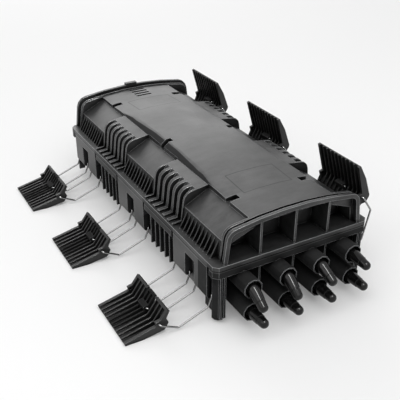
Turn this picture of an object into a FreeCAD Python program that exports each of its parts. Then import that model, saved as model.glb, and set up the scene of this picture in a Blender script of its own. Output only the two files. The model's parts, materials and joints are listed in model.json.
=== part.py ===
import FreeCAD, Part
import math
import os

V = FreeCAD.Vector

# Frame: X runs along the closure with the ports at +X, Z is up, and the floor is at z = 0.
# The origin is the middle of the base's footprint. Lengths are millimetres, angles degrees.

# Case outline
body_length = 480.0
body_width = 230.0
flange_corner = 6.0
joint_height = 78.0
base_flange = 10.0
lid_flange = 6.0
wall = 3.0
sink = 1.0

# Flats on forms that are round on the real one, few enough to keep the part light
round_flat_count = 10
pin_flat_count = 5
axle_flat_count = 4
shoulder_flat_count = 3
crown_flat_count = 5
tub_flat_count = 3
camber_flat_count = 5

# Lid arch, measured above the lid flange: the end rims stand proud of the body between them
lid_rise = 54.0
lid_margin = 15.0
shoulder_radius = 16.0
crown_drop = 7.5
lid_draft = 7.0
body_step = 3.0
rim_setback = 2.0
rim_ridge = 4.5
rim_gap = 5.0
rim_gap_depth = 6.0
second_ridge = 2.5
rim_frame = 5.5
front_rim_drop = 2.0
far_rim_lift = 2.5
mouth_depth = 8.0
front_cell_depth = 33.0
front_web = 3.0

# Raised crown between the outer notches, arched along its length
crown_edge = 62.0
crown_camber = 6.5
crown_reach = 172.0
crown_slope = 40.0

# Lever pockets in the lid
pocket_clearance = 5.0
pocket_inset = 5.0
pocket_crease_rise = 24.0
pocket_edge_half = 61.0
pocket_edge_rise = 42.0
notch_width = 10.0
notch_depth = 15.0

# Fins between the pockets, and gussets at the pocket's foot
fin_groove_count = 6
fin_groove_width = 8.5
fin_groove_depth = 7.0
fin_ledge = 4.5
fin_ledge_edge = 3.0
fin_ledge_set = 2.0
fin_run_out = 30.0
gusset_count = 10
gusset_thickness = 1.6
gusset_reach = 9.0
gusset_height = 22.0

# Vent slots and lifting tab at the far end of the lid
vent_count = 4
vent_pitch = 9.7
vent_width = 4.5
vent_length = 27.0
vent_depth = 2.0
tab_length = 20.0
tab_place = -4.0
tab_height = 3.0
tab_drop = 6.0

# Base tub
tub_margin = 11.0
tub_radius = 26.0
far_wall_set = 8.0
front_wall_set = 40.0
seal_margin = 5.0
seal_width = 4.0
seal_depth = 3.0
seal_clearance = 0.1
rib_thickness = 2.0
rib_reach = 8.0
rib_foot = 20.0
rib_spacing = 14.0
ribs_per_gap = 5
post_length = 10.0
post_reach = 7.0
post_round = 8.0
post_flat_count = 3
post_foot = 4.0
far_post_foot = 8.0
post_rib = 3.0
bay_web = 2.5
bay_web_foot = 30.0

# Latch panels on the base
latches_per_side = 3
latch_pitch = 178.0
slot_width = 24.0
panel_width = 31.5
panel_thickness = 4.0
panel_side = 3.0
slot_bridge = 2.0
flange_gap = 5.0
flange_gap_depth = 3.5
roll_turn = 50.0

# Latch wire
wire_diameter = 2.5
running_gap = 0.08
leg_gap = 2.5
axle_drop = 43.0
axle_inset = 6.5
wire_reach = 73.0
kink_reach = 56.0
kink_angle = 18.3
hook_reach = 16.5
hook_angle = 54.5
outer_gap = 2.0
stub_length = 8.0
near_pivot_height = 16.106
far_wire_angle = 83.0

# Latch lever, outlined about its pivot: first number towards the tip, second towards the ribs
lever_width = 84.0
lever_long = 46.0
lever_short = 23.4
lever_bend = 140.0
lever_face = 1.9
lever_tip = 3.5
lever_skin = 1.5
lever_belly = 13.3
lever_plate = 3.0
lever_cheek = 4.0
lever_groove_count = 4
lever_rib = 1.6
lever_swell = 24.0
lever_swell_depth = 10.8
heel_back = 203.0
heel_start = 240.0
heel_end = 255.0
heel_notch = 11.0
heel_notch_rise = 2.0
hub_half = 3.5
hub_width = 16.0
leg_slot = 3.0
slot_margin = 10.0
near_lever_angle = -13.0
far_lever_angle = 105.8

# Cable ports and their plugs; the free ends of the upper row sag, each by its own angle
port_columns = 4
port_pitch = 50.0
port_rows = 2
port_drop = 11.5
port_row_pitch = 33.7
port_bore = 21.6
port_wall = 2.0
port_reach = 22.0
plug_diameter = 15.5
plug_reach = 30.0
plug_round = 5.0
plug_bend_depth = 1.0
plug_sag = (30.0, 34.0, 23.0, 6.0)
plug_flat_count = 8
grommet_length = 24.0
grommet_recess = 26.0
grommet_clearance = 0.1

# Splice trays and what carries them
boss_diameter = 10.0
boss_height = 7.0
screw_diameter = 3.0
screw_head = 6.0
screw_head_height = 2.0
screw_clearance = 0.3
screw_length = 7.0
plate_length = 300.0
plate_width = 160.0
plate_thickness = 2.0
plate_offset = -45.0
plate_hole_inset = 10.0
tray_count = 3
tray_length = 210.0
tray_width = 120.0
tray_height = 10.0
tray_corner = 22.0
tray_wall = 1.6
splice_block_length = 44.0
splice_block_width = 24.0
trunnion_diameter = 4.0
trunnion_length = 6.0
trunnion_clearance = 0.1
rack_gap = 0.6
rack_thickness = 4.0
rack_depth = 16.0
cover_thickness = 1.6

# Cable clamping behind the ports
bracket_gap = 14.0
bracket_thickness = 2.0
bracket_foot = 16.0
cable_slot = 15.0
saddle_width = 26.0
saddle_height = 8.0
saddle_length = 10.0
anchor_diameter = 7.0
anchor_length = 9.0
anchor_offset = 12.5

# Values worked out from the sizes above
half_length = body_length / 2
half_width = body_width / 2
lid_base = joint_height + lid_flange
lid_top = lid_base + lid_rise
flange_low = joint_height - base_flange
slot_top = flange_low - slot_bridge
axle_height = joint_height - axle_drop
draft = math.radians(lid_draft)
shoulder_y = half_width - lid_margin - shoulder_radius
shoulder_z = lid_top - crown_drop - shoulder_radius
crown_radius = (shoulder_y ** 2 + (shoulder_z - lid_top) ** 2 - shoulder_radius ** 2) / (2 * crown_drop)
crown_middle = lid_top - crown_radius
crown_turn = math.atan2(shoulder_z - crown_middle, shoulder_y)
camber_radius = crown_reach ** 2 / (2 * crown_camber)
camber_middle = lid_top - body_step + crown_camber - camber_radius
rim_face = half_length - rim_setback
body_end = rim_face - rim_ridge - rim_gap
pocket_half = lever_width / 2 + pocket_clearance
tub_half = half_width - tub_margin
far_wall_x = -half_length + far_wall_set
front_wall_x = half_length - front_wall_set
post_face = half_length - post_rib
panel_outer = slot_width / 2 + panel_width
roll = math.radians(roll_turn)
panel_foot = axle_height - axle_inset * math.sin(roll)
wire_radius = wire_diameter / 2
inner_leg = slot_width / 2 - leg_gap
outer_leg = panel_outer + outer_gap + wire_radius / 2
axle_y = half_width - axle_inset
hole_radius = wire_radius + running_gap
kink_along = wire_reach - kink_reach * math.cos(math.radians(kink_angle))
kink_swing = 180 + math.degrees(math.atan2(kink_reach * math.sin(math.radians(kink_angle)), kink_along))
near_wire_angle = math.degrees(math.asin((near_pivot_height - axle_height) / wire_reach))
port_low = flange_low - port_drop - (port_rows - 1) * port_row_pitch
port_tube = port_bore / 2 + port_wall
port_mouth = half_length + port_reach
plug_radius = plug_diameter / 2
high = lid_top + lid_rise
far_out = body_width


def box(x0, x1, y0, y1, z0, z1):
    return Part.makeBox(x1 - x0, y1 - y0, z1 - z0, V(x0, y0, z0))


def face_of(points):
    return Part.Face(Part.makePolygon(points + points[:1]))


def prism_x(outline, x0, x1):
    """A closed (y, z) outline carried from x0 to x1."""
    return face_of([V(x0, y, z) for y, z in outline]).extrude(V(x1 - x0, 0, 0))


def prism_y(outline, y0, y1):
    """A closed (x, z) outline carried from y0 to y1."""
    return face_of([V(x, y0, z) for x, z in outline]).extrude(V(0, y1 - y0, 0))


def prism_z(outline, z0, z1):
    """A closed (x, y) outline carried from z0 to z1."""
    return face_of([V(x, y, z0) for x, y in outline]).extrude(V(0, 0, z1 - z0))


def ringed(rings):
    """A solid with a flat face at each end and flat strips from each ring of points to the next."""
    faces = [face_of(rings[0]), face_of(rings[-1])]
    for back, front in zip(rings, rings[1:]):
        for i in range(len(back)):
            faces.append(face_of([back[i - 1], back[i], front[i], front[i - 1]]))
    return Part.Solid(Part.Shell(faces)).removeSplitter()


def flatted(radius, flats, a, b):
    """A regular outline about (a, b) with its corners on the radius."""
    turns = [2 * math.pi * (i + 0.5) / flats for i in range(flats)]
    return [(a + radius * math.cos(turn), b + radius * math.sin(turn)) for turn in turns]


def clear_of(radius, flats):
    """Corner radius of a flatted hole that lets a round of this radius through."""
    return radius / math.cos(math.pi / flats)


def mirrored(outline):
    """An outline that starts and ends at y = 0 or above, closed by its own reflection."""
    return outline + [(-y, z) for y, z in reversed(outline)]


def other_side(shape):
    return shape.mirror(V(0, 0, 0), V(0, 1, 0))


def both_sides(shapes):
    return shapes + [other_side(shape) for shape in shapes]


def fused(first, others):
    return first.multiFuse(others).removeSplitter()


def spread(count, pitch):
    return [(i - (count - 1) / 2) * pitch for i in range(count)]


def flange_slab(z0, z1):
    slab = box(-half_length, half_length, -half_width, half_width, z0, z1)
    upright = [e for e in slab.Edges if abs(e.tangentAt(e.FirstParameter).z) > 0.99]
    return slab.makeChamfer(flange_corner, upright)


def arch_side(z, inset):
    """Half width of the arch's drafted side at height z, set in by inset."""
    radius = shoulder_radius - inset
    rise = shoulder_z + radius * math.sin(draft) - z
    return shoulder_y + radius * math.cos(draft) + rise * math.tan(draft)


def arch_outline(inset, z_low):
    """The lid's arch, set in all round by inset: drafted sides, rounded shoulders, crowned top."""
    radius = shoulder_radius - inset
    crown = crown_radius - inset
    outline = [(arch_side(z_low, inset), z_low)]
    for i in range(shoulder_flat_count + 1):
        turn = draft + (crown_turn - draft) * i / shoulder_flat_count
        outline.append((shoulder_y + radius * math.cos(turn), shoulder_z + radius * math.sin(turn)))
    for i in range(1, (crown_flat_count + 1) // 2):
        turn = crown_turn + (math.pi - 2 * crown_turn) * i / crown_flat_count
        outline.append((crown * math.cos(turn), crown_middle + crown * math.sin(turn)))
    return mirrored(outline)


def arch_prism(inset, z_low, x0, x1):
    return prism_x(arch_outline(inset, z_low), x0, x1)


def latch_places():
    return spread(latches_per_side, latch_pitch)


def gap_places():
    return spread(latches_per_side - 1, latch_pitch)


pocket_crease_z = lid_base + pocket_crease_rise
pocket_edge_z = lid_base + pocket_edge_rise
pocket_crease_y = arch_side(pocket_crease_z, pocket_inset)
pocket_foot_y = arch_side(lid_base, pocket_inset)
groove_inset = body_step + fin_groove_depth
groove_bend_z = shoulder_z + sink
fin_zone = latch_pitch - 2 * pocket_half
fin_top_y = shoulder_y + shoulder_radius - fin_run_out
inner_half = pocket_edge_half - notch_depth - wall


def crown_sector():
    """The crown turned about a far axis along Y, so that its middle stands above its ends."""
    outline = [(y, z + crown_camber - camber_middle) for y, z in arch_outline(body_step, joint_height)]
    reach = math.asin((crown_reach + sink) / camber_radius)
    rings = []
    for i in range(camber_flat_count + 1):
        turn = reach * (2 * i / camber_flat_count - 1)
        rings.append([V(r * math.sin(turn), y, camber_middle + r * math.cos(turn)) for y, r in outline])
    return ringed(rings)


def crown_raise():
    """The raised part of the crown, sloping down to a straight edge along each side."""
    edge_z = crown_middle + math.sqrt((crown_radius - body_step) ** 2 - crown_edge ** 2)
    top_z = lid_top + crown_camber
    top = crown_edge - (top_z - edge_z) / math.tan(math.radians(crown_slope))
    outline = mirrored([(crown_edge, joint_height), (crown_edge, edge_z), (top, top_z)])
    return crown_sector().common(prism_x(outline, -crown_reach - sink, crown_reach + sink))


def lid_pocket(x):
    outline = [
        (pocket_foot_y, lid_base),
        (pocket_crease_y, pocket_crease_z),
        (pocket_edge_half, pocket_edge_z),
        (pocket_edge_half, high),
        (far_out, high),
        (far_out, lid_base),
    ]
    pocket = prism_x(outline, x - pocket_half, x + pocket_half)
    notch = box(x - notch_width / 2, x + notch_width / 2,
                pocket_edge_half - notch_depth, pocket_edge_half + sink, pocket_edge_z, high)
    return [pocket, notch]


def fin_cuts(x):
    outline = [
        (arch_side(lid_base, groove_inset), lid_base),
        (arch_side(groove_bend_z, groove_inset), groove_bend_z),
        (fin_top_y, lid_top),
        (far_out, lid_top),
        (far_out, lid_base),
    ]
    half = fin_groove_width / 2
    places = [x + dx for dx in spread(fin_groove_count, fin_zone / fin_groove_count)]
    return [prism_x(outline, place - half, place + half) for place in places]


def fin_foot(x):
    """A low step from the fins' foot out to the flange's edge, cut into feet by the grooves."""
    inner = arch_side(lid_base, groove_inset)
    outer = half_width - fin_ledge_set
    outline = [(inner, lid_base - sink), (outer, lid_base - sink),
               (outer, lid_base + fin_ledge_edge), (inner, lid_base + fin_ledge)]
    return prism_x(outline, x - fin_zone / 2, x + fin_zone / 2)


def gussets(x):
    top_z = lid_base + gusset_height
    top_y = arch_side(top_z, pocket_inset)
    outline = [
        (pocket_foot_y - sink, lid_base - sink),
        (pocket_foot_y + gusset_reach, lid_base - sink),
        (pocket_foot_y + gusset_reach, lid_base),
        (top_y, top_z),
        (top_y - sink, top_z),
    ]
    half = gusset_thickness / 2
    pitch = 2 * pocket_half / (gusset_count + 1)
    return [prism_x(outline, x + dx - half, x + dx + half) for dx in spread(gusset_count, pitch)]


def lid_hollow():
    """The lid's inside, at least one wall behind its pockets, its fins and its crown."""
    side = groove_inset + wall
    outline = mirrored([
        (arch_side(joint_height, side), joint_height),
        (arch_side(pocket_crease_z - wall, side), pocket_crease_z - wall),
        (inner_half, pocket_edge_z - wall),
    ])
    start = -body_end + wall
    end = front_wall_x - wall
    core = box(start, end, -inner_half, inner_half, joint_height, high)
    arch = arch_prism(body_step + wall, joint_height, start, end)
    return [prism_x(outline, start, end), arch.common(core)]


def lid_front_cells():
    """Open cells in the front rim, deep below the pocket's floor and shallow under the arch."""
    cell_inset = pocket_inset + 2 * wall
    deep = mirrored([
        (arch_side(lid_base, cell_inset), lid_base),
        (arch_side(pocket_crease_z - wall, cell_inset), pocket_crease_z - wall),
        (inner_half, pocket_edge_z - wall),
    ])
    mouth = arch_prism(front_rim_drop + rim_frame, lid_base, rim_face - mouth_depth, half_length)
    return [mouth, prism_x(deep, rim_face - front_cell_depth, half_length)]


def front_webs():
    under_rim = arch_prism(rim_gap_depth + sink, joint_height, front_wall_x, rim_face)
    half = front_web / 2
    return [under_rim.common(box(front_wall_x, rim_face - sink, y - half, y + half, lid_base - sink, high))
            for y in spread(port_columns - 1, port_pitch)]


def vent_slots():
    """Blind slots behind the far rim."""
    first = -body_end + second_ridge + wall
    floor = lid_top - body_step - vent_depth
    half = vent_length / 2
    return [box(x, x + vent_width, -half, half, floor, high)
            for x in [first + i * vent_pitch for i in range(vent_count)]]


def make_lid():
    far_ridge = -rim_face + rim_ridge
    outer = [
        arch_prism(rim_gap_depth, joint_height, -rim_face, rim_face),
        arch_prism(-far_rim_lift, joint_height, -rim_face, far_ridge),
        arch_prism(front_rim_drop, joint_height, rim_face - rim_ridge, rim_face),
        arch_prism(body_step, joint_height, -body_end, body_end),
        arch_prism(sink, joint_height, -body_end, -body_end + second_ridge),
        box(-half_length, far_ridge, tab_place - tab_length / 2, tab_place + tab_length / 2,
            lid_top - tab_drop, lid_top + far_rim_lift + tab_height),
        crown_raise(),
    ]
    outer += both_sides([fin_foot(x) for x in gap_places()])
    shell = flange_slab(joint_height, lid_base).multiFuse(outer)
    side_cuts = []
    adds = front_webs()
    for x in latch_places():
        side_cuts += lid_pocket(x)
        adds += both_sides(gussets(x))
    for x in gap_places():
        side_cuts += fin_cuts(x)
    cuts = both_sides(side_cuts) + lid_hollow() + lid_front_cells() + vent_slots()
    return fused(shell.cut(cuts), adds)


def tub_block(inset, z_top):
    radius = tub_radius - inset
    outline = [(tub_half - inset, z_top)]
    for i in range(tub_flat_count + 1):
        turn = math.pi / 2 * i / tub_flat_count
        outline.append((tub_half - tub_radius + radius * math.cos(turn),
                        tub_radius - radius * math.sin(turn)))
    return prism_x(mirrored(outline), far_wall_x + inset, front_wall_x - inset)


def seal_ring(clearance):
    outer = seal_margin + clearance
    inner = seal_margin + seal_width - clearance
    ring = box(-half_length + outer, half_length - outer, -half_width + outer, half_width - outer,
               joint_height - seal_depth, joint_height)
    hole = box(-half_length + inner, half_length - inner, -half_width + inner, half_width - inner,
               joint_height - seal_depth, joint_height)
    return ring.cut(hole)


def latch_panels(x):
    """Two channel panels with a slot between, rolled under about the wire's axle."""
    inner = slot_width / 2
    back = tub_half - sink
    top = flange_low + sink
    roll_end = axle_y + axle_inset * math.cos(roll)
    pieces = [box(x - inner - sink, x + inner + sink, back, half_width, slot_top, top)]
    for side in (-1, 1):
        x0, x1 = sorted((x + side * inner, x + side * panel_outer))
        corners = [V(x0, roll_end, panel_foot), V(x0, back, panel_foot), V(x0, back, top),
                   V(x0, half_width, top), V(x0, half_width, axle_height)]
        middle = V(x0, axle_y + axle_inset * math.cos(roll / 2),
                   axle_height - axle_inset * math.sin(roll / 2))
        rolled = Part.Arc(corners[-1], middle, corners[0]).toShape()
        outline = Part.Wire(Part.makePolygon(corners).Edges + [rolled])
        panel = Part.Face(outline).extrude(V(x1 - x0, 0, 0))
        channel = box(x0 + panel_side, x1 - panel_side, back - sink, half_width - panel_thickness,
                      0, flange_low)
        pieces.append(panel.cut(channel))
    return pieces


def side_ribs(x):
    half = rib_thickness / 2
    places = [x + dx for dx in spread(ribs_per_gap, rib_spacing)]
    return [box(place - half, place + half, tub_half - sink, tub_half + rib_reach,
                rib_foot, flange_low + sink) for place in places]


def corner_post(foot):
    """A post under the flange at the +X, +Y corner, its outer edge rounded."""
    y0 = tub_half - wall
    y1 = tub_half + post_reach
    outline = [(post_face - post_length, y1), (post_face - post_length, y0), (post_face, y0)]
    for i in range(post_flat_count + 1):
        turn = math.pi / 2 * i / post_flat_count
        outline.append((post_face + post_round * (math.cos(turn) - 1),
                        y1 + post_round * (math.sin(turn) - 1)))
    return prism_z(outline, foot, flange_low + sink)


def corner_posts():
    """The tub's cheeks run past its front wall and end in ribbed posts; the far corners have plain ones."""
    y0 = tub_half - wall
    cheek = box(front_wall_x - sink, post_face, y0, tub_half, post_foot, flange_low + sink)
    pieces = [cheek, corner_post(post_foot)]
    for y in (y0 - post_rib + sink, tub_half):
        pieces.append(box(post_face - post_length / 2, half_length, y, y + post_rib,
                          far_post_foot, flange_low + sink))
    return pieces + [corner_post(far_post_foot).mirror(V(0, 0, 0), V(1, 0, 0))]


def port_places():
    return [(y, port_low + row * port_row_pitch) for row in range(port_rows)
            for y in spread(port_columns, port_pitch)]


def boss_places():
    dx = plate_length / 2 - plate_hole_inset
    dy = plate_width / 2 - plate_hole_inset
    return [(plate_offset + sx * dx, sy * dy) for sx in (-1, 1) for sy in (-1, 1)]


boss_top = wall + boss_height
plate_top = boss_top + plate_thickness
bracket_x = front_wall_x - wall - bracket_gap
bracket_high = port_low + (port_rows - 1) * port_row_pitch + port_tube


def screw_hole(x, y, z0, z1):
    return prism_z(flatted(clear_of(screw_diameter / 2, pin_flat_count), pin_flat_count, x, y), z0, z1)


def make_base():
    shell = tub_block(0, joint_height - sink).fuse(flange_slab(flange_low, joint_height))
    side = corner_posts()
    side_cuts = []
    axle = flatted(clear_of(hole_radius, axle_flat_count), axle_flat_count, axle_y, axle_height)
    for x in latch_places():
        side += latch_panels(x)
        side_cuts.append(prism_x(axle, x - panel_outer - sink, x + panel_outer + sink))
        for start in (x - panel_outer - flange_gap, x + panel_outer):
            side_cuts.append(box(start, start + flange_gap, half_width - flange_gap_depth, far_out,
                                 flange_low, joint_height))
    for x in gap_places():
        side += side_ribs(x)
    adds = both_sides(side)
    cuts = both_sides(side_cuts) + [tub_block(wall, joint_height + sink), seal_ring(0)]
    half = bay_web / 2
    for y in spread(port_columns - 1, port_pitch):
        adds.append(box(front_wall_x - sink, post_face, y - half, y + half,
                        bay_web_foot, flange_low + sink))
    bore = clear_of(port_bore / 2, round_flat_count)
    for y, z in port_places():
        adds.append(prism_x(flatted(port_tube, round_flat_count, y, z), front_wall_x - sink, port_mouth))
        cuts.append(prism_x(flatted(bore, round_flat_count, y, z),
                            front_wall_x - 2 * wall, port_mouth + sink))
    shell = shell.multiFuse(adds).cut(cuts)
    places = boss_places() + bracket_holes()
    bosses = [prism_z(flatted(boss_diameter / 2, pin_flat_count, x, y), wall - sink, boss_top)
              for x, y in places]
    return fused(shell, bosses).cut([screw_hole(x, y, wall, boss_top) for x, y in places])


def make_plug(y, z, sag):
    """A soft plug with a rounded tip, whose free end sags from the port's mouth."""
    turn = math.radians(sag)
    along = V(math.cos(turn), 0, -math.sin(turn))
    up = V(math.sin(turn), 0, math.cos(turn))
    tail = V(port_mouth - grommet_recess - grommet_length, y, z)
    bend = V(port_mouth - plug_bend_depth, y, z)
    end = bend + along * (plug_bend_depth + plug_reach)
    sections = [
        (tail, plug_radius, V(0, 0, 1)),
        (bend, plug_radius, V(math.tan(turn / 2), 0, 1)),
        (end - along * plug_round, plug_radius, up),
        (end, plug_radius - plug_round, up),
    ]
    rings = [[middle + V(0, a, 0) + rise * b for a, b in flatted(radius, plug_flat_count, 0, 0)]
             for middle, radius, rise in sections]
    return ringed(rings)


def make_grommets():
    end = port_mouth - grommet_recess
    outer = port_bore / 2 - grommet_clearance
    inner = clear_of(plug_radius + grommet_clearance, pin_flat_count)
    rings = []
    for y, z in port_places():
        ring = prism_x(flatted(outer, pin_flat_count, y, z), end - grommet_length, end)
        rings.append(ring.cut(prism_x(flatted(inner, pin_flat_count, y, z), end - grommet_length, end)))
    return Part.makeCompound(rings)


def polar(reach, angle):
    turn = math.radians(angle)
    return V(0, axle_y + reach * math.cos(turn), axle_height + reach * math.sin(turn))


def make_wire(x, angle):
    """One bent wire: two axles in the base, four hooked legs, a cross-piece and two ear stubs."""
    pivot = polar(wire_reach, angle)
    kink = polar(kink_reach, angle - kink_angle)
    hook = polar(hook_reach, angle - hook_angle)
    axle = polar(0, angle)
    out = V(outer_leg, 0, 0)
    inn = V(inner_leg, 0, 0)
    half = [pivot + out - V(stub_length, 0, 0)]
    half += [point + out for point in (pivot, kink, hook, axle)]
    half += [point + inn for point in (axle, hook, kink, pivot)]
    route = half + [V(-p.x, p.y, p.z) for p in reversed(half)]
    route = [p + V(x, 0, 0) for p in route]
    ring = [V(route[0].x, y, z) for y, z in flatted(wire_radius, axle_flat_count, pivot.y, pivot.z)]
    profile = Part.makePolygon(ring + ring[:1])
    return Part.makePolygon(route).makePipeShell([profile], True, False, 1)


def on_heel(radius, angle):
    turn = math.radians(angle)
    return (radius * math.cos(turn), radius * math.sin(turn))


def make_lever(x, wire_angle, angle):
    """A bent grip: smooth belly outside, ribs inside, and three bosses that turn on the wire."""
    bend = math.radians(lever_bend)
    reach = (math.cos(bend), math.sin(bend))
    skin = lever_plate + lever_rib / 2
    heel_middle = (heel_start + heel_end) / 2
    corner = (lever_face * (1 + math.tan(bend / 2 - math.pi / 4)), -lever_face)
    short_in = (corner[0] + lever_short * reach[0], corner[1] + lever_short * reach[1])
    short_out = (short_in[0] - skin * reach[1], short_in[1] + skin * reach[0])
    outline = [
        on_heel(lever_belly, heel_end),
        (lever_swell, -lever_swell_depth),
        (lever_long, -lever_face - lever_tip),
        (lever_long, -lever_face),
        corner,
        short_in,
        short_out,
        (-heel_notch, heel_notch_rise),
        on_heel(lever_belly, heel_back),
        on_heel(lever_belly, heel_start),
    ]
    x0 = x - lever_width / 2
    corners = [V(x0, along, up) for along, up in outline]
    heel = Part.Arc(corners[-1], V(x0, *on_heel(lever_belly, heel_middle)), corners[0]).toShape()
    body = Part.Face(Part.Wire(Part.makePolygon(corners).Edges + [heel])).extrude(V(lever_width, 0, 0))

    flap = (short_in[0] - lever_plate * (reach[0] + reach[1]),
            short_in[1] + lever_plate * (reach[0] - reach[1]))
    groove = [
        (lever_long, lever_skin - lever_face - lever_tip),
        on_heel(lever_belly - lever_plate, heel_middle),
        (-heel_notch + lever_plate, heel_notch_rise),
        flap,
        (flap[0] + 2 * lever_plate, flap[1] + 3 * lever_plate),
        (lever_long, lever_long),
    ]
    ear = lever_width / 2 - lever_cheek
    hub = hub_width / 2
    gap = (ear - hub - (lever_groove_count - 1) * lever_rib) / lever_groove_count
    spans = [(lever_rib / 2, hub - lever_rib)]
    starts = [hub + i * (gap + lever_rib) for i in range(lever_groove_count)]
    spans += [(start, start + gap) for start in starts]
    spans += [(-end, -start) for start, end in spans]
    body = body.cut([prism_x(groove, x + start, x + end) for start, end in spans])
    bosses = [box(x - hub, x + hub, -hub_half, hub_half, lever_plate - lever_belly, hub_half)]
    for start in (x0, x + ear):
        bosses.append(box(start, start + lever_cheek, -hub_half, hub_half, -hub_half, hub_half))
    body = body.multiFuse(bosses)

    wedge = [(wire_diameter, 0), (0, wire_diameter)]
    for turn in (lever_bend - slot_margin, 180, kink_swing + slot_margin):
        wedge.append(on_heel(2 * lever_short, turn))
    wedge.append((0, -wire_diameter))
    half = leg_slot / 2
    cuts = [prism_x(wedge, x + leg - half, x + leg + half) for leg in (-inner_leg, inner_leg)]
    pivot_hole = flatted(clear_of(hole_radius, axle_flat_count), axle_flat_count, 0, 0)
    holes = ((x0 - sink, x0 + lever_cheek), (x - inner_leg, x + inner_leg), (x + ear, x + lever_width))
    cuts += [prism_x(pivot_hole, start, end) for start, end in holes]
    body = body.cut(cuts).removeSplitter()
    body.rotate(V(0, 0, 0), V(1, 0, 0), angle)
    body.translate(polar(wire_reach, wire_angle))
    return body


def make_screw(x, y, seat, length):
    head = prism_z(flatted(screw_head / 2, pin_flat_count, x, y), seat, seat + screw_head_height)
    shank = flatted(screw_diameter / 2 - screw_clearance, pin_flat_count, x, y)
    return fused(head, [prism_z(shank, seat - length, seat)])


def make_screws(places, seat):
    return Part.makeCompound([make_screw(x, y, seat, screw_length) for x, y in places])


def make_plate():
    x0 = plate_offset - plate_length / 2
    x1 = plate_offset + plate_length / 2
    plate = box(x0, x1, -plate_width / 2, plate_width / 2, boss_top, plate_top)
    return plate.cut([screw_hole(x, y, boss_top, plate_top) for x, y in boss_places()])


rack_x = plate_offset - plate_length / 2 + rack_depth
trunnion_x = rack_x - rack_depth / 2
tray_start = rack_x + trunnion_diameter
tray_floor = plate_top


def tray_outline(inset):
    x0 = tray_start + inset
    x1 = tray_start + tray_length - inset
    half = tray_width / 2 - inset
    cut = tray_corner - inset * math.tan(math.pi / 8)
    far_end = [(x1 - cut, -half), (x1, -half + cut), (x1, half - cut), (x1 - cut, half)]
    return [(x0, -half)] + far_end + [(x0, half)]


def make_tray(level):
    """A shallow tray with a splice block, and two arms whose trunnions sit in the rack."""
    z0 = tray_floor + level * tray_height
    z1 = z0 + tray_height
    tray = prism_z(tray_outline(0), z0, z1).cut(prism_z(tray_outline(tray_wall), z0 + tray_wall, z1))
    block_x = tray_start + (tray_length - splice_block_length) / 2
    half = splice_block_width / 2
    block = box(block_x, block_x + splice_block_length, -half, half, z0, z1 - tray_wall)
    axis_z = z0 + tray_height / 2
    radius = trunnion_diameter / 2
    arm_y = tray_width / 2 - tray_wall
    pin_end = arm_y + rack_gap + tray_wall + rack_thickness
    arm = box(trunnion_x - radius, tray_start + sink, arm_y - trunnion_length, arm_y,
              axis_z - radius, axis_z + radius)
    pin = prism_y(flatted(radius, pin_flat_count, trunnion_x, axis_z), arm_y - sink, pin_end)
    return fused(tray, [block] + both_sides([arm, pin]))


def make_rack():
    """Two notched cheeks on a back, open towards the trays."""
    inner = tray_width / 2 + rack_gap
    outer = inner + rack_thickness
    top = tray_floor + tray_count * tray_height
    back_x = trunnion_x - rack_depth / 2
    back = box(back_x, back_x + rack_thickness, -outer, outer, plate_top, top)
    rack = fused(back, both_sides([box(back_x, rack_x, inner, outer, plate_top, top)]))
    notch = trunnion_diameter / 2 + trunnion_clearance
    cuts = []
    for level in range(tray_count):
        z = tray_floor + level * tray_height + tray_height / 2
        cuts.append(box(trunnion_x - notch, rack_x + sink, -outer, outer, z - notch, z + notch))
    return rack.cut(cuts)


def make_cover():
    z0 = tray_floor + tray_count * tray_height
    return prism_z(tray_outline(0), z0, z0 + cover_thickness)


def bracket_holes():
    x = bracket_x - bracket_foot / 2
    return [(x, y) for y in (-port_pitch, port_pitch)]


def make_bracket():
    """A bent steel angle with a row of cable slots for each row of ports."""
    half = tub_half - tub_radius
    foot_top = boss_top + bracket_thickness
    upright = box(bracket_x - bracket_thickness, bracket_x, -half, half, boss_top, bracket_high)
    foot = box(bracket_x - bracket_foot, bracket_x, -half, half, boss_top, foot_top)
    holes = [screw_hole(x, y, boss_top, foot_top) for x, y in bracket_holes()]
    slot = cable_slot / 2
    for y, z in port_places():
        holes.append(box(bracket_x - 2 * bracket_thickness, bracket_x + sink, y - slot, y + slot,
                         max(z - slot, foot_top + bracket_thickness), z + slot))
    return fused(upright, [foot]).cut(holes)


def make_saddles():
    """A cable saddle against the bracket over each cable slot."""
    end = bracket_x + saddle_length
    pieces = []
    for y, z in port_places():
        low = z + cable_slot / 2
        block = box(bracket_x, end, y - saddle_width / 2, y + saddle_width / 2, low, low + saddle_height)
        groove = [(y - cable_slot / 2, low), (y + cable_slot / 2, low), (y, low + saddle_height / 2)]
        pieces.append(block.cut(prism_x(groove, bracket_x, end)))
    return Part.makeCompound(pieces)


def make_anchors():
    """Clamping posts for the cables' strength members, one beside each port."""
    back = bracket_x - bracket_thickness
    pieces = []
    for port_y, z in port_places():
        y = port_y - math.copysign(anchor_offset, port_y)
        outline = flatted(anchor_diameter / 2, pin_flat_count, y, z)
        pieces.append(prism_x(outline, back - anchor_length, back))
    return Part.makeCompound(pieces)


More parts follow.
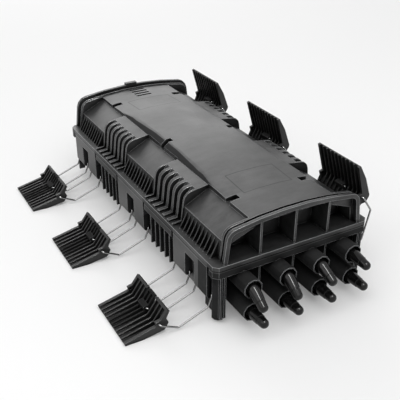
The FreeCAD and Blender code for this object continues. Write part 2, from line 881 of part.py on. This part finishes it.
def build_parts():
    parts = {
        "base_shell": make_base(),
        "lid_shell": make_lid(),
        "joint_gasket": seal_ring(seal_clearance),
        "port_grommets": make_grommets(),
        "tray_plate": make_plate(),
        "tray_rack": make_rack(),
        "tray_cover": make_cover(),
        "clamp_bracket": make_bracket(),
        "cable_saddles": make_saddles(),
        "member_anchors": make_anchors(),
        "plate_screws": make_screws(boss_places(), plate_top),
        "bracket_screws": make_screws(bracket_holes(), boss_top + bracket_thickness),
    }
    for level in range(tray_count):
        parts["splice_tray_%d" % (level + 1)] = make_tray(level)
    sags = [0.0] * port_columns + list(plug_sag)
    for number, ((y, z), sag) in enumerate(zip(port_places(), sags), 1):
        parts["port_plug_%d" % number] = make_plug(y, z, sag)
    for number, x in enumerate(latch_places(), 1):
        parts["near_wire_%d" % number] = other_side(make_wire(x, near_wire_angle))
        parts["near_lever_%d" % number] = other_side(make_lever(x, near_wire_angle, near_lever_angle))
        parts["far_wire_%d" % number] = make_wire(x, far_wire_angle)
        parts["far_lever_%d" % number] = make_lever(x, far_wire_angle, far_lever_angle)
    return parts


os.makedirs("parts", exist_ok=True)
for name, shape in build_parts().items():
    shape.exportStep("parts/%s.step" % name)
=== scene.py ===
import json
import math

import bmesh
import bpy
from mathutils import Matrix, Vector


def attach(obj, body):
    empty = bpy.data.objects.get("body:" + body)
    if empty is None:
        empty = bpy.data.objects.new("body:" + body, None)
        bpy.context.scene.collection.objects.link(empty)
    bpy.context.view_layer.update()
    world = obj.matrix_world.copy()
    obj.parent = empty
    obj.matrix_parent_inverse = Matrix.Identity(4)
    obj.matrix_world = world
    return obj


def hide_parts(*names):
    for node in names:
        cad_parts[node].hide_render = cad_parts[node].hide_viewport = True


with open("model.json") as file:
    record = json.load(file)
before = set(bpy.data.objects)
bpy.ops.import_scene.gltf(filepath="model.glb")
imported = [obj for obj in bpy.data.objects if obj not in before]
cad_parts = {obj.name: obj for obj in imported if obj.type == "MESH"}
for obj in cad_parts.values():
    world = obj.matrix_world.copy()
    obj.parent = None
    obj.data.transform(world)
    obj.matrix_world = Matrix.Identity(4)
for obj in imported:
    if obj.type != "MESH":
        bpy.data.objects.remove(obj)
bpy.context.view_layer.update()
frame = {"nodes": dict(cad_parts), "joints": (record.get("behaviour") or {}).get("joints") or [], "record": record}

scene = bpy.context.scene

# Latch wire, in metres: legs and bends seen from the middle of the latch
wire_radius = 0.00125
wire_bend = 0.0028
wire_sides, bend_flats = 14, 5
outer_leg = 0.046125
inner_leg = 0.0095
stub_length = 0.008
kink_reach, kink_angle = 0.056, 18.3
hook_reach, hook_angle = 0.0165, 54.5

# Port plugs: the free ends of the upper row sag from the ports' mouths
port_columns = (-0.075, -0.025, 0.025, 0.075)
lower_row, upper_row = 0.0228, 0.0565
upper_sag = (30.0, 34.0, 23.0, 6.0)
plug_tail, plug_bend, plug_reach = 0.212, 0.261, 0.031
plug_radius, plug_sides = 0.00775, 40
bend_rings, bend_step = 6, 0.0015
nose_length, nose_radius, nose_taper = 0.0120, 0.0064, 0.0008
tip_round, tip_flats = 0.0048, 8
groove_start, groove_floor, groove_stop, groove_depth = 0.0014, 0.0009, 0.0003, 0.0004

# Meshes: points this near are one, and corners sharper than this angle stay crisp
merge_within, weld_within = 0.000005, 0.00001
corner_angle = 38.0

# Places on the case that its material tells apart, in metres. Latches and panels repeat along X.
half_latch_pitch, panel_half, pocket_half = 0.089, 0.0435, 0.0473
joint_height, lip_height = 0.078, 0.0762
band_low, band_high, band_line = 0.056, 0.086, 0.0019
port_wall, port_high = 0.2, 0.076
gusset_from, gusset_low, gusset_high = 0.088, 0.0845, 0.107
fin_end, fin_low, fin_high = 0.0695, 0.112, 0.130
step_above = 0.130
vent_from, vent_half, vent_floor, vent_depth = -0.187, 0.0137, 0.1335, 0.001
label_place, label_half_length, label_half_width, label_above = 0.153, 0.023, 0.036, 0.125
hub_half = 0.0082

# How far a face turns to a long side, by its normal's Y, and upwards, by its normal's Z
leaning, upright, square_on = 0.45, 0.8, 0.95
facing_up = 0.3


# Materials

class Finish:
    """A material under construction: shorthand for adding and joining its nodes."""

    def __init__(self, name):
        self.material = bpy.data.materials.new(name)
        self.material.use_nodes = True
        self.tree = self.material.node_tree
        self.shader = self.tree.nodes["Principled BSDF"]
        spot = self.add("ShaderNodeTexCoord").outputs
        self.place, self.facing = spot["Object"], spot["Normal"]

    def add(self, kind, **settings):
        node = self.tree.nodes.new(kind)
        for key, value in settings.items():
            setattr(node, key, value)
        return node

    def fill(self, node, values):
        for socket, value in values.items():
            if isinstance(value, bpy.types.NodeSocket):
                self.tree.links.new(value, node.inputs[socket])
            else:
                node.inputs[socket].default_value = value
        return node

    def split(self, vector):
        return self.fill(self.add("ShaderNodeSeparateXYZ"), {0: vector}).outputs

    def noise(self, scale, detail=3.0, rough=0.55, stretch=None):
        place = self.place
        if stretch:
            place = self.fill(self.add("ShaderNodeMapping"), {0: place, 3: stretch}).outputs[0]
        values = {"Vector": place, "Scale": scale, "Detail": detail, "Roughness": rough}
        return self.fill(self.add("ShaderNodeTexNoise"), values).outputs[0]

    def math(self, operation, a, b=0.0):
        return self.fill(self.add("ShaderNodeMath", operation=operation), {0: a, 1: b}).outputs[0]

    def chain(self, operation, first, *others):
        for other in others:
            first = self.math(operation, first, other)
        return first

    def sum(self, *values):
        return self.chain("ADD", *values)

    def less(self, value, taken):
        return self.math("SUBTRACT", value, taken)

    def product(self, *values):
        return self.chain("MULTIPLY", *values)

    def most(self, *values):
        return self.chain("MAXIMUM", *values)

    def size(self, value):
        return self.math("ABSOLUTE", value)

    def off(self, value, middle):
        return self.size(self.less(value, middle))

    def above(self, value, limit):
        return self.math("GREATER_THAN", value, limit)

    def below(self, value, limit):
        return self.math("LESS_THAN", value, limit)

    def ranged(self, value, low, high, to_low=0.0, to_high=1.0):
        node = self.add("ShaderNodeMapRange", clamp=True)
        return self.fill(node, {0: value, 1: low, 2: high, 3: to_low, 4: to_high}).outputs[0]

    def line(self, distance, full, gone):
        """1 within full of a line's middle, 0 beyond gone."""
        return self.ranged(distance, full, gone, 1.0, 0.0)

    def scaled(self, value, mask, factor):
        """The value, times factor where the mask is 1."""
        return self.product(value, self.ranged(mask, 0.0, 1.0, 1.0, factor))

    def mixed(self, factor, a, b):
        node = self.add("ShaderNodeMix", data_type="RGBA")
        return self.fill(node, {0: factor, 6: a, 7: b}).outputs[2]

    def from_latch(self, x):
        """How far along the case a point is from the middle of the nearest latch."""
        return self.math("PINGPONG", self.size(x), half_latch_pitch)

    def edges(self, radius):
        """(rounded normal, edge mask) from the surface's own corners."""
        rounded = self.fill(self.add("ShaderNodeBevel", samples=6), {0: radius}).outputs[0]
        flat = self.add("ShaderNodeNewGeometry").outputs["Normal"]
        turn = self.add("ShaderNodeVectorMath", operation="DOT_PRODUCT")
        turn = self.fill(turn, {0: rounded, 1: flat}).outputs[1]
        return rounded, self.ranged(turn, 0.995, 0.86)

    def crevices(self, reach):
        """1 where the surface is open, towards 0 deep in slots and corners."""
        node = self.add("ShaderNodeAmbientOcclusion", samples=8)
        return self.fill(node, {"Distance": reach}).outputs["AO"]

    def bump(self, height, strength, distance, normal=None):
        values = {"Height": height, "Strength": strength, "Distance": distance}
        if normal is not None:
            values["Normal"] = normal
        return self.fill(self.add("ShaderNodeBump"), values).outputs[0]

    def shade(self, **values):
        self.fill(self.shader, {key.replace("_", " "): value for key, value in values.items()})
        return self.material


def grey(level, tint=0.0):
    return (level * (1 - tint), level, level * (1 + tint), 1.0)


def moulded_case():
    """Black moulded plastic: grain, streaks, smears, painted highlights on edges, painted shade in slots, joint
    line, label fields.
    """
    f = Finish("moulded_case")
    x, y, z = f.split(f.place)
    aside = f.size(y)
    lean = f.size(f.split(f.facing)[1])
    from_latch = f.from_latch(x)

    # Zones
    off_panel = f.above(from_latch, panel_half)
    panel = f.product(f.less(1.0, off_panel), f.above(lean, square_on), f.below(z, band_high))
    band = f.product(off_panel, f.above(z, band_low), f.below(z, band_high), f.above(lean, upright))
    ribs = f.product(off_panel, f.below(z, band_low), f.below(f.size(x), port_wall))
    ports = f.product(f.above(x, port_wall), f.below(z, port_high))
    gussets = f.product(f.above(z, gusset_low), f.below(z, gusset_high),
                        f.below(from_latch, pocket_half), f.above(aside, gusset_from))
    # The step walls beside the crown get painted shade by a gloss cut
    step = f.product(f.above(lean, leaning), f.above(z, step_above))
    # The vent slots are painted fully dark: painted shade
    vents = f.product(f.below(x, vent_from), f.below(aside, vent_half),
                      f.below(f.off(z, vent_floor), vent_depth))
    # The painted shade fades out towards the upper ends of the fin grooves
    fin_tops = f.product(f.ranged(z, fin_low, fin_high, 0.0, 0.5),
                         f.above(aside, fin_end), f.above(from_latch, pocket_half))

    # Lines
    joint = f.line(f.off(z, joint_height), 0.0004, 0.0010)
    # A pale line along the base flange's top edge under the joint: painted highlight
    lip_highlight = f.product(f.line(f.off(z, lip_height), 0.0003, 0.0008), f.above(lean, upright))
    along = f.less(f.off(f.size(x), label_place), label_half_length)
    across = f.less(aside, label_half_width)
    label = f.product(f.line(f.size(f.most(along, across)), 0.0002, 0.0011), f.above(z, label_above))
    band_lines = f.product(f.math("SINE", f.product(z, 2 * math.pi / band_line)), band)

    # Surface
    grain = f.noise(1700.0, 2.0)
    flow = f.noise(14.0, 4.0, stretch=(0.6, 1.0, 1.0))
    streak = f.noise(90.0, 3.0, stretch=(0.12, 1.0, 1.0))
    mottle = f.noise(75.0, 5.0, 0.7, stretch=(1.0, 0.35, 1.0))
    smear = f.noise(32.0, 5.0, 0.65, stretch=(1.0, 0.6, 1.0))
    rounded, corner = f.edges(0.0011)
    # Painted highlight: pale lines along the case's corners, weaker on the gussets
    highlit_edge = f.scaled(corner, gussets, 0.4)
    # Painted shade: ambient occlusion darkens slots, grooves and corners
    open_to_light = f.sum(f.less(f.crevices(0.012), vents), fin_tops)

    tone = f.mixed(f.ranged(flow, 0.3, 0.7), grey(0.009, 0.02), grey(0.014, 0.02))
    # Painted highlight along the edges
    tone = f.mixed(f.product(highlit_edge, 0.9), tone, grey(0.36, 0.02))
    tone = f.mixed(joint, tone, grey(0.002))
    # Painted highlight on the lip
    tone = f.mixed(lip_highlight, tone, grey(0.10, 0.02))
    # Painted shade in slots and corners
    tone = f.mixed(f.ranged(open_to_light, 0.42, 0.90), grey(0.002), tone)

    # The ports under the overhang and the ribs below the band get painted shade by a gloss cut
    recessed = f.most(ports, ribs)
    # Painted shade by gloss: less in crevices, on the step walls, gussets, ports and ribs; more on edges as
    # painted highlight
    gloss = f.product(f.ranged(open_to_light, 0.42, 0.92, 0.05, 0.57),
                      f.ranged(mottle, 0.3, 0.7, 0.7, 1.36), f.ranged(smear, 0.35, 0.65, 0.86, 1.14))
    for zone, factor in ((label, 0.35), (step, 0.25), (gussets, 0.55), (joint, 0.1), (band, 0.5),
                         (panel, 1.5), (recessed, 0.3), (highlit_edge, 1.9)):
        gloss = f.scaled(gloss, zone, factor)

    dull = f.most(step, gussets, recessed, f.ranged(open_to_light, 0.42, 0.92, 1.0, 0.0))
    rough = f.sum(f.ranged(flow, 0.25, 0.75, 0.40, 0.50), f.ranged(mottle, 0.3, 0.7, -0.06, 0.06),
                  f.product(dull, 0.3), f.product(highlit_edge, -0.18))

    height = f.sum(f.less(grain, label), f.product(streak, 0.8), f.product(band_lines, 0.8))
    return f.shade(Base_Color=tone, Roughness=rough, Normal=f.bump(height, 0.22, 0.00015, rounded),
                   Specular_IOR_Level=gloss)


def lever_plastic():
    """Deeper black satin plastic with handling wear and painted highlights on its edges, and painted shade by
    duller hub tops on the near levers.
    """
    f = Finish("lever_plastic")
    x, y, _ = f.split(f.place)
    up = f.split(f.facing)[2]
    # Upward faces of the near levers' hubs get painted shade by a gloss cut
    shaded_hub_top = f.product(f.below(f.from_latch(x), hub_half), f.below(y, 0.0), f.above(up, facing_up))
    grain = f.noise(2100.0, 2.0)
    rub = f.noise(60.0, 4.0)
    rounded, highlit_edge = f.edges(0.0006)
    open_to_light = f.crevices(0.010)
    # Paler edges where rubbed: partly wear, partly painted highlight
    worn_and_lit = f.product(highlit_edge, f.ranged(rub, 0.35, 0.7))
    tone = f.mixed(f.product(worn_and_lit, 0.8), grey(0.006), grey(0.10))
    # Painted shade: less gloss in crevices
    gloss = f.ranged(open_to_light, 0.30, 0.85, 0.08, 0.44)
    gloss = f.scaled(f.scaled(gloss, shaded_hub_top, 0.3), highlit_edge, 2.0)
    dull = f.most(shaded_hub_top, f.ranged(open_to_light, 0.30, 0.85, 1.0, 0.0))
    rough = f.sum(f.ranged(rub, 0.3, 0.7, 0.42, 0.54), f.product(dull, 0.3), f.product(highlit_edge, -0.2))
    return f.shade(Base_Color=tone, Roughness=rough, Normal=f.bump(grain, 0.10, 0.0001, rounded),
                   Specular_IOR_Level=gloss)


def plug_plastic():
    """Glossy black plug with faint turning lines and finger dulling."""
    f = Finish("plug_plastic")
    rub = f.noise(220.0, 3.0)
    lines = f.noise(900.0, 2.0, stretch=(1.0, 0.02, 0.02))
    tone = f.mixed(f.ranged(rub, 0.4, 0.75), grey(0.004), grey(0.008))
    return f.shade(Base_Color=tone, Roughness=f.ranged(rub, 0.3, 0.8, 0.06, 0.12), Specular_IOR_Level=0.26,
                   Normal=f.bump(lines, 0.05, 0.0001))


def drawn_steel(name, level, rough):
    """Bright steel with fine drawing lines and slight dulling."""
    f = Finish(name)
    lines = f.noise(1500.0, 3.0, stretch=(0.06, 1.0, 1.0))
    dull = f.noise(45.0, 3.0)
    tone = f.mixed(f.ranged(dull, 0.35, 0.7), grey(level), grey(level * 0.8))
    return f.shade(Base_Color=tone, Metallic=1.0,
                   Roughness=f.ranged(dull, 0.3, 0.75, rough, rough + 0.12),
                   Normal=f.bump(lines, 0.08, 0.00005))


def seal_rubber():
    """Dull black rubber with a faint bloom and fine pores."""
    f = Finish("seal_rubber")
    bloom = f.noise(90.0, 4.0)
    pores = f.noise(1300.0, 2.0)
    tone = f.mixed(f.ranged(bloom, 0.35, 0.75), grey(0.018), grey(0.035))
    return f.shade(Base_Color=tone, Roughness=f.ranged(bloom, 0.3, 0.7, 0.75, 0.9),
                   Normal=f.bump(pores, 0.2, 0.0001))


def tray_plastic():
    """Off-white satin plastic with slightly paler edges, a painted highlight."""
    f = Finish("tray_plastic")
    flow = f.noise(30.0, 3.0)
    grain = f.noise(1500.0, 2.0)
    rounded, highlit_edge = f.edges(0.0004)
    tone = f.mixed(f.ranged(flow, 0.3, 0.7), (0.70, 0.71, 0.69, 1.0), (0.76, 0.77, 0.74, 1.0))
    # Painted highlight along the edges
    return f.shade(Base_Color=f.mixed(f.product(highlit_edge, 0.3), tone, grey(0.85)),
                   Roughness=f.ranged(flow, 0.3, 0.7, 0.38, 0.5), Normal=f.bump(grain, 0.08, 0.0001, rounded))


finishes = {
    "case_black": moulded_case(),
    "lever_black": lever_plastic(),
    "plug_black": plug_plastic(),
    "wire_steel": drawn_steel("wire_steel", 0.29, 0.12),
    "seal_rubber": seal_rubber(),
    "tray_plastic": tray_plastic(),
    "bracket_steel": drawn_steel("bracket_steel", 0.58, 0.30),
}


# Shading of the CAD pieces: flats of one round run together, true corners stay crisp

def corner_shading():
    """Modifier: joins the loose triangles and shades them smooth up to the corner angle."""
    group = bpy.data.node_groups.new("corner_shading", "GeometryNodeTree")
    group.interface.new_socket("Geometry", in_out="INPUT", socket_type="NodeSocketGeometry")
    group.interface.new_socket("Geometry", in_out="OUTPUT", socket_type="NodeSocketGeometry")
    nodes, links = group.nodes, group.links
    start = nodes.new("NodeGroupInput")
    merge = nodes.new("GeometryNodeMergeByDistance")
    merge.inputs["Distance"].default_value = weld_within
    smooth = nodes.new("GeometryNodeSetShadeSmooth")
    bend = nodes.new("GeometryNodeInputMeshEdgeAngle")
    sharper = nodes.new("FunctionNodeCompare")
    sharper.data_type = "FLOAT"
    sharper.operation = "GREATER_THAN"
    sharper.inputs[1].default_value = math.radians(corner_angle)
    crisp = nodes.new("GeometryNodeSetShadeSmooth")
    crisp.domain = "EDGE"
    crisp.inputs["Shade Smooth"].default_value = False
    end = nodes.new("NodeGroupOutput")
    links.new(start.outputs[0], merge.inputs["Geometry"])
    links.new(merge.outputs[0], smooth.inputs["Geometry"])
    links.new(smooth.outputs[0], crisp.inputs["Geometry"])
    links.new(bend.outputs["Unsigned Angle"], sharper.inputs[0])
    links.new(sharper.outputs[0], crisp.inputs["Selection"])
    links.new(crisp.outputs[0], end.inputs[0])
    return group


shading = corner_shading()
slots = {piece["node"]: piece["material_slot"] for piece in frame["record"]["subparts"]}
for name, node in frame["nodes"].items():
    node.data.materials.clear()
    node.data.materials.append(finishes[slots[name]])
    node.modifiers.new("corner_shading", "NODES").node_group = shading


# New pieces

def finished(bm, name, slot, body, *stands_for):
    """Turns a bmesh into a piece of the object in place of a CAD node."""
    bmesh.ops.remove_doubles(bm, verts=bm.verts, dist=merge_within)
    bmesh.ops.recalc_face_normals(bm, faces=bm.faces)
    mesh = bpy.data.meshes.new(name)
    bm.to_mesh(mesh)
    bm.free()
    mesh.shade_smooth()
    mesh.set_sharp_from_angle(angle=math.radians(corner_angle))
    mesh.materials.append(finishes[slot])
    piece = bpy.data.objects.new(name, mesh)
    scene.collection.objects.link(piece)
    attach(piece, body)
    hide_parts(*stands_for)


def ring_edges(geometry):
    """The edges among freshly made geometry."""
    return [e for e in geometry if isinstance(e, bmesh.types.BMEdge)]


def bent_wire(route):
    """A round wire along straight runs with a tight bend at each corner."""
    bm = bmesh.new()
    heading = (route[1] - route[0]).normalized()
    turned = heading.to_track_quat("Z", "Y").to_matrix().to_4x4()
    bmesh.ops.create_circle(bm, segments=wire_sides, radius=wire_radius,
                            matrix=Matrix.Translation(route[0]) @ turned)
    ring = list(bm.edges)
    bmesh.ops.edgeloop_fill(bm, edges=ring)
    at = route[0]
    for corner, after in zip(route[1:], route[2:] + [None]):
        heading = (corner - at).normalized()
        trim = 0.0
        if after is not None:
            leaving = (after - corner).normalized()
            angle = heading.angle(leaving)
            trim = wire_bend * math.tan(angle / 2)
        stop = corner - heading * trim
        made = bmesh.ops.extrude_edge_only(bm, edges=ring)["geom"]
        moved = [v for v in made if isinstance(v, bmesh.types.BMVert)]
        bmesh.ops.translate(bm, verts=moved, vec=stop - at)
        ring = [e for e in ring_edges(made) if e.verts[0] in moved and e.verts[1] in moved]
        at = stop
        if after is not None:
            axis = heading.cross(leaving).normalized()
            middle = stop + axis.cross(heading) * wire_bend
            verts = list({v for e in ring for v in e.verts})
            made = bmesh.ops.spin(bm, geom=ring + verts, cent=middle, axis=axis, angle=angle,
                                  steps=bend_flats)
            ring = ring_edges(made["geom_last"])
            at = corner + leaving * trim
    bmesh.ops.edgeloop_fill(bm, edges=ring)
    return bm


def latch_wires():
    """Each wire from its stub in the lever, round the panel's axle and back, the same on both halves."""
    hinges = {joint["name"]: Vector(joint["pos_m"]) for joint in frame["joints"]}
    for side, sign in (("near", -1), ("far", 1)):
        for number in (1, 2, 3):
            name = "%s_wire_%d" % (side, number)
            axle = hinges[name + "_hinge"]
            pivot = hinges["%s_lever_%d_hinge" % (side, number)]
            lean = math.atan2(pivot.z - axle.z, sign * (pivot.y - axle.y))

            def off_axle(reach, below):
                turn = lean - math.radians(below)
                return axle + Vector((0, sign * reach * math.cos(turn), reach * math.sin(turn)))

            kink = off_axle(kink_reach, kink_angle)
            hook = off_axle(hook_reach, hook_angle)
            out = Vector((outer_leg, 0, 0))
            inn = Vector((inner_leg, 0, 0))
            half = [pivot + out - Vector((stub_length, 0, 0))]
            half += [point + out for point in (pivot, kink, hook, axle)]
            half += [point + inn for point in (axle, hook, kink, pivot)]
            route = half + [Vector((2 * axle.x - p.x, p.y, p.z)) for p in reversed(half)]
            finished(bent_wire(route), "bent_" + name, "wire_steel", name, name)


def turned_plug(y, z, sag):
    """A turned plug: shank, a fine groove behind the nose, a rounded tip; bent down at the port's mouth."""
    bm = bmesh.new()
    end = plug_bend + plug_reach
    nose = end - nose_length
    bends = [plug_bend + (i - bend_rings / 2) * bend_step for i in range(bend_rings + 1)]
    outline = [(plug_tail, 0.0), (plug_tail, plug_radius)] + [(x, plug_radius) for x in bends]
    outline += [(nose - groove_start, nose_radius + groove_depth),
                (nose - groove_floor, nose_radius - groove_depth),
                (nose - groove_stop, nose_radius - groove_depth), (nose, nose_radius),
                (end, nose_radius - nose_taper), (end, 0.0)]
    verts = [bm.verts.new((x, y, z + r)) for x, r in outline]
    for pair in zip(verts, verts[1:]):
        bm.edges.new(pair)
    bmesh.ops.bevel(bm, geom=[verts[-2]], offset=tip_round, offset_type="OFFSET", segments=tip_flats,
                    profile=0.5, affect="VERTICES", material=-1)
    bmesh.ops.spin(bm, geom=list(bm.verts) + list(bm.edges), cent=(0, y, z), axis=(1, 0, 0),
                   angle=2 * math.pi, steps=plug_sides, use_merge=True)
    bmesh.ops.remove_doubles(bm, verts=bm.verts, dist=merge_within)
    straight = {v: v.co.x for v in bm.verts}
    step = Matrix.Rotation(math.radians(sag / bend_rings), 3, "Y")
    for x in reversed(bends[1:]):
        hinge = x - bend_step / 2
        beyond = [v for v in bm.verts if straight[v] > hinge]
        bmesh.ops.rotate(bm, verts=beyond, cent=(hinge, y, z), matrix=step)
    return bm


def port_plugs():
    """Plugs 1 to 4 in the lower row, 5 to 8 in the upper."""
    places = [(y, lower_row, 0.0) for y in port_columns]
    places += [(y, upper_row, sag) for y, sag in zip(port_columns, upper_sag)]
    for number, (y, z, sag) in enumerate(places, 1):
        name = "port_plug_%d" % number
        finished(turned_plug(y, z, sag), "turned_" + name, "plug_black", "case", name)


latch_wires()
port_plugs()


# Studio: pale floor, soft light, camera at the photo's place

floor_half = 30.0
floor_bounce, floor_seen = 0.8, 0.72
glow_from, glow_to, glow_near, glow_far = 1.5, 5.0, 0.155, 0.5
world_light, world_seen = 0.60, 0.95
white = (1.0, 1.0, 1.0, 1.0)
camera_place, camera_aim = Vector((0.7906, -0.4424, 0.5364)), Vector((-0.0003, 0.0, 0.0268))
camera_lens, camera_sensor = 61.1, 36.0

# Rays that see the background itself. The others only bring its plain light.
seeing_rays = ("Is Camera Ray", "Is Glossy Ray", "Is Transmission Ray")


def floor():
    """A pale floor that keeps the shadow. It glows a little where it is seen, more so far from the object."""
    bm = bmesh.new()
    bmesh.ops.create_grid(bm, x_segments=1, y_segments=1, size=floor_half)
    mesh = bpy.data.meshes.new("studio_floor")
    bm.to_mesh(mesh)
    bm.free()
    piece = bpy.data.objects.new("studio_floor", mesh)
    f = Finish("studio_floor")
    rays = f.add("ShaderNodeLightPath").outputs
    seen = f.most(*[rays[name] for name in seeing_rays])
    away = f.fill(f.add("ShaderNodeVectorMath", operation="LENGTH"), {0: f.place}).outputs[1]
    glow = f.ranged(away, glow_from, glow_to, glow_near, glow_far)
    f.shade(Base_Color=f.mixed(seen, grey(floor_bounce), grey(floor_seen)), Roughness=0.9,
            Specular_IOR_Level=0.0, Emission_Color=white, Emission_Strength=f.product(seen, glow))
    mesh.materials.append(f.material)
    scene.collection.objects.link(piece)


def pale_world():
    """A plain grey light all round, and a paler background where it is seen."""
    world = bpy.data.worlds.new("studio")
    scene.world = world
    world.use_nodes = True
    nodes, links = world.node_tree.nodes, world.node_tree.links
    plain = nodes["Background"]
    plain.inputs["Color"].default_value = white
    plain.inputs["Strength"].default_value = world_light
    pale = nodes.new("ShaderNodeBackground")
    pale.inputs["Color"].default_value = white
    pale.inputs["Strength"].default_value = world_seen
    rays = nodes.new("ShaderNodeLightPath").outputs
    seen = rays[seeing_rays[0]]
    for name in seeing_rays[1:]:
        either = nodes.new("ShaderNodeMath")
        either.operation = "MAXIMUM"
        links.new(seen, either.inputs[0])
        links.new(rays[name], either.inputs[1])
        seen = either.outputs[0]
    mix = nodes.new("ShaderNodeMixShader")
    links.new(seen, mix.inputs[0])
    links.new(plain.outputs[0], mix.inputs[1])
    links.new(pale.outputs[0], mix.inputs[2])
    links.new(mix.outputs[0], nodes["World Output"].inputs["Surface"])


def aimed(piece, place, aim):
    """Puts a lamp or camera in its place, looking at the aim."""
    piece.location = place
    piece.rotation_euler = (Vector(aim) - Vector(place)).to_track_quat("-Z", "Y").to_euler()
    scene.collection.objects.link(piece)


def soft_light(name, place, aim, size, power):
    light = bpy.data.lights.new(name, "AREA")
    light.shape = "RECTANGLE"
    light.size, light.size_y = size
    light.energy = power
    lamp = bpy.data.objects.new(name, light)
    aimed(lamp, place, aim)
    return lamp


def studio():
    floor()
    pale_world()
    soft_light("back_softbox", (-3.2, 0.75, 1.7), (0, 0, 0.1), (3.0, 1.3), 41.0)
    soft_light("top_softbox", (1.0, -0.1, 1.9), (0.35, 0.0, 0.1), (2.4, 2.4), 23.0)
    soft_light("near_softbox", (0.1, -1.7, 1.5), (0, -0.1, 0.05), (1.8, 1.2), 9.0)
    # The strip is for the streaks along the plugs alone
    strip = soft_light("top_strip", (0.68, -0.1, 1.7), (0.28, -0.1, 0.05), (0.3, 1.0), 24.0)
    strip.visible_diffuse = False


def photo_camera():
    data = bpy.data.cameras.new("photo_camera")
    data.lens = camera_lens
    data.sensor_width = camera_sensor
    camera = bpy.data.objects.new("photo_camera", data)
    aimed(camera, camera_place, camera_aim)
    scene.camera = camera


studio()
photo_camera()
scene.view_settings.view_transform = "Standard"
